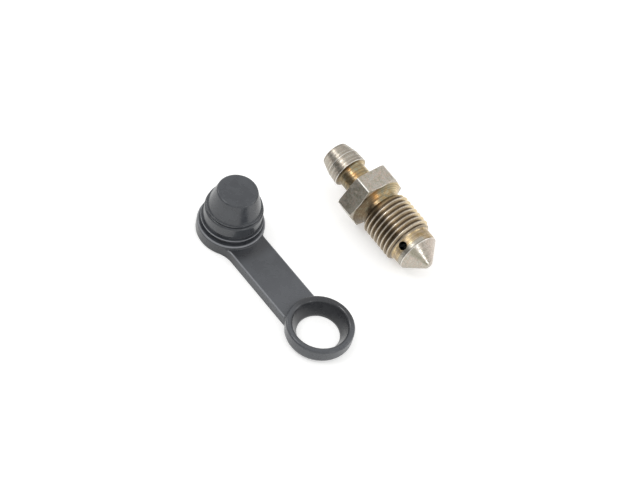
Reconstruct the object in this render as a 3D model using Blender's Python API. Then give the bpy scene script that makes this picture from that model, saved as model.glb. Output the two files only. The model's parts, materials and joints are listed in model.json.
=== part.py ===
"""A bleeder screw lying on a table beside its own rubber dust cap.

The screw is one piece, turned from hexagon bar: a barbed hose nipple, a neck, a short hexagon with a
domed underside, a relief groove, an M10 x 1 right-hand thread and a plain end with a 90 degree seat
cone. A blind bore runs in from the nipple and a cross hole meets it in the plain end.

The dust cap is one rubber moulding: a hollow cap that snaps over the nipple's barb, a flat strap, and
a ring that grips the screw's shank. Here it has been taken off and stands mouth down.

The frame has +X along the screw from nipple to nose, +Z up, and its origin on the table under the
middle of the two pieces. All sizes are in metres.
"""

import math

import bmesh
import bpy
from mathutils import Matrix, Vector

MM = 0.001

# Hose nipple and neck
NIPPLE_END_RADIUS = 2.68 * MM
NIPPLE_END_ROUND = 0.22 * MM
NIPPLE_CONE_LENGTH = 2.63 * MM
NIPPLE_EDGE_RADIUS = 3.38 * MM
NIPPLE_LAND_LENGTH = 2.31 * MM
BARB_RADIUS = 3.53 * MM
BARB_EDGE_DROP = 0.1 * MM
NECK_RADIUS = 2.8 * MM
NECK_LENGTH = 4.2 * MM
BARB_FILLET = 0.55 * MM
NECK_FILLET = 0.3 * MM

# Hexagon
HEX_ACROSS_FLATS = 11.0 * MM
HEX_LENGTH = 3.71 * MM
HEX_CORNER_ROUND = 0.25 * MM
HEX_CHAMFER_LENGTH = 0.22 * MM
HEX_CHAMFER_DEPTH = 0.44 * MM
HEX_DOME_HEIGHT = 1.35 * MM
# How far the turned outline passes outside the hexagon's corners
HEX_STOCK_ALLOWANCE = 0.1 * MM

# Shank and thread
GROOVE_RADIUS = 4.1 * MM
GROOVE_LENGTH = 0.75 * MM
THREAD_MAJOR_RADIUS = 4.93 * MM
THREAD_DEPTH = 0.54 * MM
THREAD_PITCH = 1.0 * MM
THREAD_LENGTH = 8.65 * MM
THREAD_HALF_ANGLE = math.radians(30)
# The flat at the groove's root is the pitch divided by this, as on a metric thread
THREAD_ROOT_SHARE = 4
# Where the first groove starts, seen along the screw
THREAD_START_ANGLE = math.radians(120)
THREAD_START_GAP = 0.1 * MM

# Plain end, seat cone and nose
END_RADIUS = 4.08 * MM
END_LENGTH = 2.4 * MM
SEAT_HALF_ANGLE = math.radians(45)
SEAT_EDGE_ROUND = 0.2 * MM
NOSE_RADIUS = 0.78 * MM
NOSE_ROUND = 0.35 * MM

# Drillings
BORE_RADIUS = 1.35 * MM
BORE_MOUTH_CHAMFER = 0.25 * MM
DRILL_POINT_HALF_ANGLE = math.radians(59)
CROSS_HOLE_RADIUS = 0.8 * MM
CROSS_HOLE_FROM_SEAT = 1.69 * MM
# Measured from straight up, towards the dust cap
CROSS_HOLE_LEAN = math.radians(51)

# How the cap fits the nipple and the ring fits the shank
CAP_BARB_CLEARANCE = 0.02 * MM
CAP_MOUTH_CLEARANCE = 0.3 * MM
CAP_SNAP_CLEARANCE = 0.4 * MM
CAP_END_CLEARANCE = 0.8 * MM
# The ring's hole is smaller than the groove by this, so it stretches over the shank
RING_SHANK_STRETCH = 0.05 * MM

# Dust cap, from the table upwards
CAP_CROWN = 1.86 * MM
CAP_TOP_RADIUS = 3.8 * MM
CAP_TOP_ROUND = 0.5 * MM
CAP_CONE_FOOT_RADIUS = 5.0 * MM
CAP_LIP_RADIUS = 5.28 * MM
CAP_LIP_TOP = 7.6 * MM
CAP_LIP_THICKNESS = 0.35 * MM
CAP_WAIST_RADIUS = 5.04 * MM
CAP_BEAD_TOP = 7.0 * MM
CAP_BEAD_RADIUS = 5.53 * MM
CAP_BEAD_BOTTOM = 4.5 * MM
CAP_BEAD_ROUND = 0.25 * MM
CAP_FIN_RADIUS = 5.92 * MM
CAP_FIN_TOP = 4.05 * MM
CAP_FIN_THICKNESS = 0.35 * MM
CAP_FIN_ROOT_RADIUS = 5.3 * MM
FLANGE_RADIUS = 6.42 * MM
FLANGE_HEIGHT = 2.75 * MM
FLANGE_TOP_ROUND = 0.45 * MM
FLANGE_FOOT_ROUND = 0.2 * MM
CAP_MOUTH_CHAMFER = 0.5 * MM

# Strap and ring
STRAP_WIDTH = 7.75 * MM
# The strap sits this far to one side of the line through the two round ends
STRAP_OFFSET = -0.4 * MM
STRAP_THICKNESS = 2.2 * MM
STRAP_EDGE_ROUND = 0.3 * MM
# The strap flows into the flange in a long sweep on one side and a short one on the other
STRAP_NEAR_FILLET = 5.0 * MM
STRAP_FAR_FILLET = 1.2 * MM
STRAP_RING_FILLET = 0.8 * MM
# How far each fillet's circle lies inside the round wall that it flows into
FLANGE_FILLET_SINK = 0.12 * MM
RING_FILLET_SINK = 0.85 * MM
RING_PITCH = 27.74 * MM
RING_RADIUS = 6.4 * MM
RING_HEIGHT = 3.4 * MM
RING_TOP_ROUND = 1.15 * MM
RING_FOOT_ROUND = 0.9 * MM
# The hole is straight where it grips the shank and opens as a cone above that
RING_GRIP_LENGTH = 0.5 * MM
RING_CREST_RADIUS = 4.9 * MM
RING_CREST_ROUND = 0.3 * MM

# How the two pieces lie
SCREW_BESIDE_CAP = 24.56 * MM
SCREW_BACK_OF_CAP = 0.69 * MM
CAP_TURN = math.radians(-0.76)

# Facets round each turned form
SCREW_SEGMENTS = 36
HOLE_SEGMENTS = 20
CAP_SEGMENTS = 40
ARC_STEPS = 3
DOME_STEPS = 4
FILLET_STEPS = 6
# How far a cutter stands clear of the surface it cuts
OVERCUT = 0.5 * MM
# Points nearer than this are one point, and edges that turn less than this are shaded smooth
MERGE_DISTANCE = 0.001 * MM
SMOOTH_ANGLE = math.radians(25)

THREAD_MINOR_RADIUS = THREAD_MAJOR_RADIUS - THREAD_DEPTH
RING_GRIP_RADIUS = GROOVE_RADIUS - RING_SHANK_STRETCH

# Stations along the screw from the nipple's end, worked out from the lengths above
NIPPLE_EDGE_AT = NIPPLE_CONE_LENGTH
BARB_AT = NIPPLE_EDGE_AT + NIPPLE_LAND_LENGTH
HEX_AT = BARB_AT + NECK_LENGTH
HEX_END_AT = HEX_AT + HEX_LENGTH
GROOVE_AT = HEX_END_AT + HEX_DOME_HEIGHT
THREAD_AT = GROOVE_AT + GROOVE_LENGTH
THREAD_END_AT = THREAD_AT + THREAD_LENGTH
SEAT_AT = THREAD_END_AT + END_LENGTH
NOSE_AT = SEAT_AT + (END_RADIUS - NOSE_RADIUS) / math.tan(SEAT_HALF_ANGLE)

# Half the angle that one flat of the hexagon spans, and the radius to its sharp corners
HALF_FLAT_ANGLE = math.radians(30)
HEX_CORNER_RADIUS = HEX_ACROSS_FLATS / 2 / math.cos(HALF_FLAT_ANGLE)
HEX_STOCK_RADIUS = HEX_CORNER_RADIUS + HEX_STOCK_ALLOWANCE
CAVITY_DEPTH = HEX_AT + CAP_END_CLEARANCE
CAP_HEIGHT = CAVITY_DEPTH + CAP_CROWN


def arc(centre, radius, start, end, steps=ARC_STEPS):
    """Points along a circular arc; the angles are in degrees from the first axis."""
    points = []
    for step in range(steps + 1):
        angle = math.radians(start + (end - start) * step / steps)
        points.append((centre[0] + radius * math.cos(angle), centre[1] + radius * math.sin(angle)))
    return points


def rounded(before, corner, after, radius, steps=ARC_STEPS):
    """Points of the arc that rounds a corner between two straight stretches."""
    corner = Vector(corner)
    to_before = (Vector(before) - corner).normalized()
    to_after = (Vector(after) - corner).normalized()
    half = to_before.angle(to_after) / 2
    reach = radius / math.tan(half)
    centre = corner + (to_before + to_after).normalized() * radius / math.sin(half)
    first = corner + to_before * reach - centre
    last = corner + to_after * reach - centre
    turn = first.angle_signed(last)
    points = []
    for step in range(steps + 1):
        arm = Matrix.Rotation(-turn * step / steps, 2) @ first
        points.append(tuple(centre + arm))
    return points


def material(name, colour, roughness, metallic):
    """A plain surface of one colour."""
    made = bpy.data.materials.new(name)
    made.use_nodes = True
    shader = made.node_tree.nodes["Principled BSDF"]
    shader.inputs["Base Color"].default_value = (*colour, 1.0)
    shader.inputs["Roughness"].default_value = roughness
    shader.inputs["Metallic"].default_value = metallic
    return made


def add_object(name, bm, surface=None):
    """Puts a closed mesh in the scene, faces outwards and round parts smooth."""
    bmesh.ops.recalc_face_normals(bm, faces=bm.faces[:])
    mesh = bpy.data.meshes.new(name)
    bm.to_mesh(mesh)
    bm.free()
    mesh.shade_smooth()
    mesh.set_sharp_from_angle(angle=SMOOTH_ANGLE)
    obj = bpy.data.objects.new(name, mesh)
    bpy.context.scene.collection.objects.link(obj)
    if surface:
        mesh.materials.append(surface)
    return obj


def lathe(name, profile, axis, segments, surface=None):
    """Turns a profile of (distance along the axis, radius) points into a solid."""
    bm = bmesh.new()
    across = Vector((0, 0, 1)) if axis.x else Vector((1, 0, 0))
    points = [bm.verts.new(axis * along + across * radius) for along, radius in profile]
    outline = [bm.edges.new(pair) for pair in zip(points, points[1:])]
    bmesh.ops.spin(
        bm, geom=points + outline, cent=(0, 0, 0), axis=axis, angle=math.tau, steps=segments
    )
    bmesh.ops.remove_doubles(bm, verts=bm.verts[:], dist=MERGE_DISTANCE)
    return add_object(name, bm, surface)


def boolean(obj, operation, tool, solver="EXACT"):
    """Joins or cuts one solid with another, which is then only a guide."""
    step = obj.modifiers.new(tool.name, "BOOLEAN")
    step.operation = operation
    step.solver = solver
    step.object = tool
    tool.hide_render = True
    tool.display_type = "WIRE"


def screw_profile():
    """The turned outline of the screw, from the nipple's end to the nose."""
    nose_corner = (NOSE_AT, NOSE_RADIUS)
    seat_corner = (SEAT_AT, END_RADIUS)
    profile = [(0, 0)]
    profile += rounded(
        (0, 0), (0, NIPPLE_END_RADIUS), (NIPPLE_EDGE_AT, NIPPLE_EDGE_RADIUS), NIPPLE_END_ROUND
    )
    profile += [(NIPPLE_EDGE_AT, NIPPLE_EDGE_RADIUS), (BARB_AT, BARB_RADIUS)]
    profile += [(BARB_AT + BARB_EDGE_DROP, BARB_RADIUS - BARB_EDGE_DROP)]
    fillet_at = BARB_AT + BARB_EDGE_DROP + BARB_FILLET
    profile += arc((fillet_at, NECK_RADIUS + BARB_FILLET), BARB_FILLET, 180, 270)
    profile += arc((HEX_AT - NECK_FILLET, NECK_RADIUS + NECK_FILLET), NECK_FILLET, 270, 360)
    profile += [(HEX_AT, HEX_STOCK_RADIUS - HEX_CHAMFER_DEPTH)]
    profile += [(HEX_AT + HEX_CHAMFER_LENGTH, HEX_STOCK_RADIUS), (HEX_END_AT, HEX_STOCK_RADIUS)]
    for step in range(DOME_STEPS + 1):
        share = step / DOME_STEPS
        radius = HEX_CORNER_RADIUS + (GROOVE_RADIUS - HEX_CORNER_RADIUS) * share
        profile.append((HEX_END_AT + HEX_DOME_HEIGHT * share**2, radius))
    profile += [(THREAD_AT, GROOVE_RADIUS)]
    profile += [(THREAD_AT + THREAD_MAJOR_RADIUS - GROOVE_RADIUS, THREAD_MAJOR_RADIUS)]
    profile += [(THREAD_END_AT - THREAD_MAJOR_RADIUS + END_RADIUS, THREAD_MAJOR_RADIUS)]
    profile += [(THREAD_END_AT, END_RADIUS)]
    profile += rounded((THREAD_END_AT, END_RADIUS), seat_corner, nose_corner, SEAT_EDGE_ROUND)
    profile += rounded(seat_corner, nose_corner, (NOSE_AT, 0), NOSE_ROUND)
    return profile + [(NOSE_AT, 0)]


def hex_bar():
    """The hexagon bar that the screw is turned from, with one flat down."""
    bm = bmesh.new()
    bmesh.ops.create_cone(
        bm,
        cap_ends=True,
        segments=6,
        radius1=HEX_CORNER_RADIUS,
        radius2=HEX_CORNER_RADIUS,
        depth=NOSE_AT + 2 * OVERCUT,
        matrix=Matrix.Translation((NOSE_AT / 2, 0, 0)) @ Matrix.Rotation(math.pi / 2, 4, "Y"),
    )
    bmesh.ops.rotate(bm, verts=bm.verts[:], cent=(0, 0, 0), matrix=flat_down(bm))
    along = [e for e in bm.edges if abs((e.verts[0].co - e.verts[1].co).x) > NOSE_AT]
    bmesh.ops.bevel(
        bm,
        geom=along,
        offset=HEX_CORNER_ROUND * math.tan(HALF_FLAT_ANGLE),
        offset_type="OFFSET",
        segments=2,
        profile=0.5,
        affect="EDGES",
    )
    return add_object("hex_bar", bm)


def flat_down(bm):
    """The turn about X that puts a corner of the hexagon on the Y axis, so a flat faces down."""
    corner = bm.verts[:][0].co
    return Matrix.Rotation(-math.atan2(corner.z, corner.y), 3, "X")


def thread_groove():
    """The helical groove of the thread: its section, swept round while it moves along the screw."""
    root = THREAD_PITCH / THREAD_ROOT_SHARE
    slope = math.tan(THREAD_HALF_ANGLE)
    # The section stops short of where one turn would meet the next
    meeting_radius = THREAD_MINOR_RADIUS + (THREAD_PITCH - root) / 2 / slope
    outer = (THREAD_MAJOR_RADIUS + meeting_radius) / 2
    rim = root + 2 * (outer - THREAD_MINOR_RADIUS) * slope
    start = THREAD_AT + THREAD_START_GAP
    turns = math.ceil((THREAD_END_AT - start) / THREAD_PITCH) + 1
    steps = turns * SCREW_SEGMENTS
    bm = bmesh.new()
    section = [
        (start - rim / 2, outer),
        (start - root / 2, THREAD_MINOR_RADIUS),
        (start + root / 2, THREAD_MINOR_RADIUS),
        (start + rim / 2, outer),
    ]
    # Half a facet on, so that no corner of the groove lies on a corner of the shank
    first = THREAD_START_ANGLE + math.pi / SCREW_SEGMENTS
    arm = Vector((0, math.cos(first), math.sin(first)))
    face = bm.faces.new([bm.verts.new(Vector((x, 0, 0)) + arm * r) for x, r in section])
    bmesh.ops.spin(
        bm,
        geom=[face],
        cent=(0, 0, 0),
        axis=(1, 0, 0),
        dvec=(THREAD_PITCH / SCREW_SEGMENTS, 0, 0),
        angle=math.tau * turns,
        steps=steps,
    )
    return add_object("thread_groove", bm)


def axial_bore():
    """The blind bore from the nipple's end, with a chamfered mouth and a drill point."""
    mouth = BORE_RADIUS + BORE_MOUTH_CHAMFER
    end = SEAT_AT - CROSS_HOLE_FROM_SEAT + CROSS_HOLE_RADIUS
    profile = [
        (-OVERCUT, 0),
        (-OVERCUT, mouth + OVERCUT),
        (BORE_MOUTH_CHAMFER, BORE_RADIUS),
        (end, BORE_RADIUS),
        (end + BORE_RADIUS / math.tan(DRILL_POINT_HALF_ANGLE), 0),
    ]
    return lathe("axial_bore", profile, Vector((1, 0, 0)), HOLE_SEGMENTS)


def cross_hole():
    """The hole drilled straight through the plain end, across the bore."""
    length = 2 * (END_RADIUS + OVERCUT)
    bm = bmesh.new()
    bmesh.ops.create_cone(
        bm,
        cap_ends=True,
        segments=HOLE_SEGMENTS,
        radius1=CROSS_HOLE_RADIUS,
        radius2=CROSS_HOLE_RADIUS,
        depth=length,
        matrix=Matrix.Translation((SEAT_AT - CROSS_HOLE_FROM_SEAT, 0, 0))
        @ Matrix.Rotation(CROSS_HOLE_LEAN, 4, "X"),
    )
    return add_object("cross_hole", bm)


def bleeder_screw(surface):
    """The screw along +X, cut as a workshop would: turned, threaded and drilled."""
    screw = lathe("bleeder_screw", screw_profile(), Vector((1, 0, 0)), SCREW_SEGMENTS, surface)
    boolean(screw, "INTERSECT", hex_bar())
    boolean(screw, "DIFFERENCE", thread_groove())
    boolean(screw, "DIFFERENCE", axial_bore())
    boolean(screw, "DIFFERENCE", cross_hole())
    return screw


def cap_outline():
    """The cap as (height, radius): down its cavity, across its foot and up its outer form to the crown."""
    mouth = NECK_RADIUS + CAP_MOUTH_CLEARANCE
    room = BARB_RADIUS + CAP_BARB_CLEARANCE
    # The mouth snaps under the barb, and the room above it takes the nipple
    step_at = NECK_LENGTH - CAP_SNAP_CLEARANCE
    bead_foot = (CAP_BEAD_BOTTOM, CAP_BEAD_RADIUS)
    bead_rim = (CAP_BEAD_TOP, CAP_BEAD_RADIUS)
    lip_bottom = CAP_LIP_TOP - CAP_LIP_THICKNESS
    fin_bottom = CAP_FIN_TOP - CAP_FIN_THICKNESS
    lip_corner = (CAP_LIP_TOP, CAP_CONE_FOOT_RADIUS)
    top_corner = (CAP_HEIGHT, CAP_TOP_RADIUS)
    foot_corner = (0, FLANGE_RADIUS)
    rim_corner = (FLANGE_HEIGHT, FLANGE_RADIUS)
    profile = [(CAVITY_DEPTH, 0), (CAVITY_DEPTH, room), (step_at + room - mouth, room), (step_at, mouth)]
    profile += [(CAP_MOUTH_CHAMFER, mouth), (0, mouth + CAP_MOUTH_CHAMFER)]
    profile += rounded((0, 0), foot_corner, rim_corner, FLANGE_FOOT_ROUND)
    profile += rounded(foot_corner, rim_corner, (FLANGE_HEIGHT, 0), FLANGE_TOP_ROUND)
    profile += [(FLANGE_HEIGHT, CAP_FIN_ROOT_RADIUS), (fin_bottom, CAP_FIN_ROOT_RADIUS)]
    profile += [(fin_bottom, CAP_FIN_RADIUS), (CAP_FIN_TOP, CAP_FIN_RADIUS)]
    profile += [(CAP_FIN_TOP, CAP_FIN_ROOT_RADIUS), (CAP_BEAD_BOTTOM, CAP_FIN_ROOT_RADIUS)]
    profile += rounded((CAP_BEAD_BOTTOM, 0), bead_foot, bead_rim, CAP_BEAD_ROUND)
    profile += rounded(bead_foot, bead_rim, (CAP_BEAD_TOP, 0), CAP_BEAD_ROUND)
    profile += [(CAP_BEAD_TOP, CAP_WAIST_RADIUS), (lip_bottom, CAP_WAIST_RADIUS)]
    profile += [(lip_bottom, CAP_LIP_RADIUS), (CAP_LIP_TOP, CAP_LIP_RADIUS), lip_corner]
    profile += rounded(lip_corner, top_corner, (CAP_HEIGHT, 0), CAP_TOP_ROUND)
    return profile + [(CAP_HEIGHT, 0)]


def ring_foot_round():
    """The ring's foot rounding, which a thin wall limits to half its thickness."""
    return min(RING_FOOT_ROUND, (RING_RADIUS - RING_GRIP_RADIUS) / 2)


def ring_cone_radius(height):
    """The radius of the ring's hole at a height on its cone."""
    share = (height - RING_GRIP_LENGTH) / (RING_HEIGHT - RING_GRIP_LENGTH)
    return RING_GRIP_RADIUS + (RING_CREST_RADIUS - RING_GRIP_RADIUS) * share


def ring():
    """The ring: its hole grips the shank at the foot and opens as a cone to a rounded crest."""
    foot = (0, RING_RADIUS)
    rim = (RING_HEIGHT, RING_RADIUS)
    crest = (RING_HEIGHT, RING_CREST_RADIUS)
    cone_foot = (RING_GRIP_LENGTH, RING_GRIP_RADIUS)
    # A thin wall leaves less room for the outer rounding beside the hole's own
    top_round = min(RING_TOP_ROUND, RING_RADIUS - RING_CREST_RADIUS - RING_CREST_ROUND)
    profile = [(0, RING_GRIP_RADIUS)]
    profile += rounded((0, 0), foot, rim, ring_foot_round())
    profile += rounded(foot, rim, (RING_HEIGHT, 0), top_round)
    profile += rounded(rim, crest, cone_foot, RING_CREST_ROUND)
    profile += [cone_foot, (0, RING_GRIP_RADIUS)]
    return lathe("ring", profile, Vector((0, 0, 1)), CAP_SEGMENTS)


def strap_side(edge_y, circle_radius, fillet):
    """One edge of the strap where it flares into a round end at the origin, for +X and +Y."""
    middle_y = edge_y + fillet
    middle_x = math.sqrt((circle_radius + fillet) ** 2 - middle_y**2)
    touch = math.degrees(math.atan2(middle_y, middle_x))
    return touch, arc((middle_x, middle_y), fillet, 180 + touch, 270, FILLET_STEPS)


def strap():
    """The flat strap from inside the flange's wall to inside the ring's, its top edges rounded."""
    far_edge = STRAP_WIDTH / 2 + STRAP_OFFSET
    near_edge = STRAP_WIDTH / 2 - STRAP_OFFSET
    # Both ends stop in the middle of the wall that they join
    mouth = NECK_RADIUS + CAP_MOUTH_CLEARANCE + CAP_MOUTH_CHAMFER
    in_flange = (mouth + FLANGE_RADIUS - FLANGE_FOOT_ROUND) / 2
    in_ring = (ring_cone_radius(STRAP_THICKNESS) + RING_RADIUS - ring_foot_round()) / 2
    flange_circle = FLANGE_RADIUS - FLANGE_FILLET_SINK
    # The flares start inside the ring's wall, but short of the strap's own end in it
    ring_circle = RING_RADIUS - min(RING_FILLET_SINK, (RING_RADIUS - in_ring) * 2 / 3)
    far_cap_touch, far_cap = strap_side(far_edge, flange_circle, STRAP_FAR_FILLET)
    near_cap_touch, near_cap = strap_side(near_edge, flange_circle, STRAP_NEAR_FILLET)
    far_ring_touch, far_ring = strap_side(far_edge, ring_circle, STRAP_RING_FILLET)
    near_ring_touch, near_ring = strap_side(near_edge, ring_circle, STRAP_RING_FILLET)
    steps = 2 * FILLET_STEPS
    ring_end = arc((RING_PITCH, 0), in_ring, 180 - far_ring_touch, 180 + near_ring_touch, steps)
    cap_end = arc((0, 0), in_flange, -near_cap_touch, far_cap_touch, steps)
    outline = far_cap + [(RING_PITCH - x, y) for x, y in reversed(far_ring)]
    outline += ring_end[1:-1] + [(RING_PITCH - x, -y) for x, y in near_ring]
    outline += [(x, -y) for x, y in reversed(near_cap)] + cap_end[1:-1]
    bm = bmesh.new()
    base = bm.faces.new([bm.verts.new((x, y, 0)) for x, y in outline])
    lifted = bmesh.ops.extrude_face_region(bm, geom=[base])["geom"]
    top = [v for v in lifted if isinstance(v, bmesh.types.BMVert)]
    bmesh.ops.translate(bm, verts=top, vec=(0, 0, STRAP_THICKNESS))
    rim = {e for v in top for e in v.link_edges if e.other_vert(v) in top}
    bmesh.ops.bevel(
        bm, geom=list(rim), offset=STRAP_EDGE_ROUND, segments=2, profile=0.5, affect="EDGES"
    )
    return add_object("strap", bm)


def dust_cap(surface):
    """The rubber moulding: cap, strap and ring in one, with the cap's middle at the origin."""
    cap = lathe("dust_cap", cap_outline(), Vector((0, 0, 1)), CAP_SEGMENTS, surface)
    far_end = ring()
    far_end.location.x = RING_PITCH
    # All three stand on the same plane, where the exact solver can fail
    boolean(cap, "UNION", strap(), "MANIFOLD")
    boolean(cap, "UNION", far_end, "MANIFOLD")
    return cap


def group(name, members):
    """An empty that carries the given objects."""
    carrier = bpy.data.objects.new(name, None)
    bpy.context.scene.collection.objects.link(carrier)
    for member in members:
        member.parent = carrier
    return carrier


def last_crest_below():
    """How far along the screw its underside last reaches the thread's full radius."""
    full_end = THREAD_END_AT - (THREAD_MAJOR_RADIUS - END_RADIUS)
    half_root = THREAD_PITCH / THREAD_ROOT_SHARE / 2
    half_groove = half_root + THREAD_DEPTH * math.tan(THREAD_HALF_ANGLE)
    # Where the groove first crosses the underside, then the end of each crest after it
    turned = (math.radians(270) - THREAD_START_ANGLE) / math.tau
    first_crest_end = THREAD_AT + THREAD_START_GAP + (turned + 1) * THREAD_PITCH - half_groove
    crests_after = math.floor((full_end - first_crest_end) / THREAD_PITCH)
    last_whole = first_crest_end + crests_after * THREAD_PITCH
    next_start = last_whole + 2 * half_groove
    return full_end if next_start < full_end else last_whole


def screw_lie():
    """How the screw comes to rest: on its lowest flat's front edge and its last full crest."""
    half_flats = HEX_ACROSS_FLATS / 2
    flat_share = (HEX_CORNER_RADIUS - half_flats) / (HEX_CORNER_RADIUS - GROOVE_RADIUS)
    edge_at = HEX_END_AT + HEX_DOME_HEIGHT * flat_share**2
    crest_at = last_crest_below()
    dip = math.atan2(half_flats - THREAD_MAJOR_RADIUS, crest_at - edge_at)
    height = edge_at * math.sin(dip) + half_flats * math.cos(dip)
    return dip, height


def main():
    """Models both pieces and lays them side by side about the origin."""
    for obj in list(bpy.data.objects):
        bpy.data.objects.remove(obj, do_unlink=True)

    steel = material("zinc_plated_steel", (0.56, 0.53, 0.47), 0.32, 1.0)
    rubber = material("black_rubber", (0.035, 0.036, 0.04), 0.5, 0.0)

    bleeder_screw(steel)
    screw_pieces = list(bpy.data.objects)
    dust_cap(rubber)
    cap_pieces = [o for o in bpy.data.objects if o not in screw_pieces]

    dip, height = screw_lie()
    ring_x = RING_PITCH * math.cos(CAP_TURN)
    ring_y = RING_PITCH * math.sin(CAP_TURN)
    corner_reach = (HEX_ACROSS_FLATS / 2 - HEX_CORNER_ROUND) / math.cos(HALF_FLAT_ANGLE) + HEX_CORNER_ROUND
    # The extent of both pieces, measured from the middle of the cap
    west = min(-FLANGE_RADIUS, -SCREW_BACK_OF_CAP)
    east = max(ring_x + RING_RADIUS, NOSE_AT * math.cos(dip) - SCREW_BACK_OF_CAP)
    south = min(-FLANGE_RADIUS, ring_y - RING_RADIUS)
    north = SCREW_BESIDE_CAP + corner_reach
    middle = Vector(((west + east) / 2, (south + north) / 2, 0))

    lying = group("screw_place", screw_pieces)
    lying.location = Vector((-SCREW_BACK_OF_CAP, SCREW_BESIDE_CAP, height)) - middle
    lying.rotation_euler.y = dip
    standing = group("cap_place", cap_pieces)
    standing.location = -middle
    standing.rotation_euler.z = CAP_TURN


main()
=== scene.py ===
"""Looks for a bleeder screw lying on a white table beside its own rubber dust cap.

The screw is modelled standing, nipple down, as it comes off the lathe, and is then laid where the frame
holds it. The dust cap is modelled about its own middle, with the strap along +X. Sizes are in metres, and
the materials' patterns are in millimetres.
"""

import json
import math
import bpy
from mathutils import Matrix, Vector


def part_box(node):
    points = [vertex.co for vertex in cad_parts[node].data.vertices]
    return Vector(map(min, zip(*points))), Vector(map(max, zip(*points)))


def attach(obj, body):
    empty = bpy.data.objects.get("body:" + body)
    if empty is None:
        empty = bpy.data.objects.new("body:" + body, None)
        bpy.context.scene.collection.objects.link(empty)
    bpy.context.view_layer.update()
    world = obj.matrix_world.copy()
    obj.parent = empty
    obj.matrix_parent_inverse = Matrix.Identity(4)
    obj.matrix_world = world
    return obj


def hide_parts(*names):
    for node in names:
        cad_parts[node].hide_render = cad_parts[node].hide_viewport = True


bl_info = {
    "name": "Bleeder screw with dust cap",
    "version": (1, 0, 0),
    "blender": (4, 5, 0),
    "location": "View3D > Sidebar > Bleeder screw",
    "description": "Models a bleeder screw, its rubber dust cap and a plain studio",
    "category": "Object",
}

import bmesh
import bpy
from bpy.props import FloatProperty, FloatVectorProperty, IntProperty, PointerProperty
from mathutils import Matrix, Vector

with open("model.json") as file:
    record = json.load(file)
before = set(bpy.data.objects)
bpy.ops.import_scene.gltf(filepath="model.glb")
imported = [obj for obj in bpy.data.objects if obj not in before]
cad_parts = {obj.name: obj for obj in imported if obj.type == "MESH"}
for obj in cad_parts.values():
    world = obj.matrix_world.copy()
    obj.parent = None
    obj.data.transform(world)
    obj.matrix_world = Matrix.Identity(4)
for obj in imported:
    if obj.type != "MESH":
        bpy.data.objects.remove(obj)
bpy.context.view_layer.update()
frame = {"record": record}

MM = 0.001
# Points nearer than this are one point
MERGE_DISTANCE = 0.0005 * MM
# The angle between the middle of a hexagon's flat and its corner
HALF_SIXTH = math.pi / 6
# How far the strap reaches into the walls of the flange and the ring before its first row
STRAP_OVERLAP = 0.05 * MM
# The table lies this far under the part, so that no face of it lies in a face of the part
TABLE_GAP = 0.02 * MM
# The side of the ring's crest where shade is painted, as a direction along and across the strap
SHADED_SIDE = (-0.64, 0.77)
# The soft boxes: name, place, side of the square and power in watts
SOFT_BOXES = (
    ("key_box", (-0.24, -0.38, 0.66), 0.2, 1.05),
    ("left_box", (-0.68, -0.2, 0.48), 0.2, 0.6),
    ("side_box", (0.75, 0.03, 0.26), 0.1, 0.35),
    ("far_box", (0.47, 0.58, 0.33), 0.25, 0.5),
)


def length(name, description, millimetres):
    """A size in the sidebar, given in millimetres and held in metres."""
    return FloatProperty(
        name=name, description=description, default=millimetres * MM, subtype="DISTANCE", unit="LENGTH"
    )


def angle(name, description, degrees):
    """An angle in the sidebar, given in degrees and held in radians."""
    return FloatProperty(
        name=name, description=description, default=math.radians(degrees), subtype="ANGLE", unit="ROTATION"
    )


def factor(name, description, value):
    """A strength or a share in the sidebar."""
    return FloatProperty(name=name, description=description, default=value, min=0.0, subtype="FACTOR")


def colour(name, description, values):
    """A colour in the sidebar."""
    return FloatVectorProperty(
        name=name, description=description, default=values, size=3, min=0.0, max=1.0, subtype="COLOR"
    )


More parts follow.
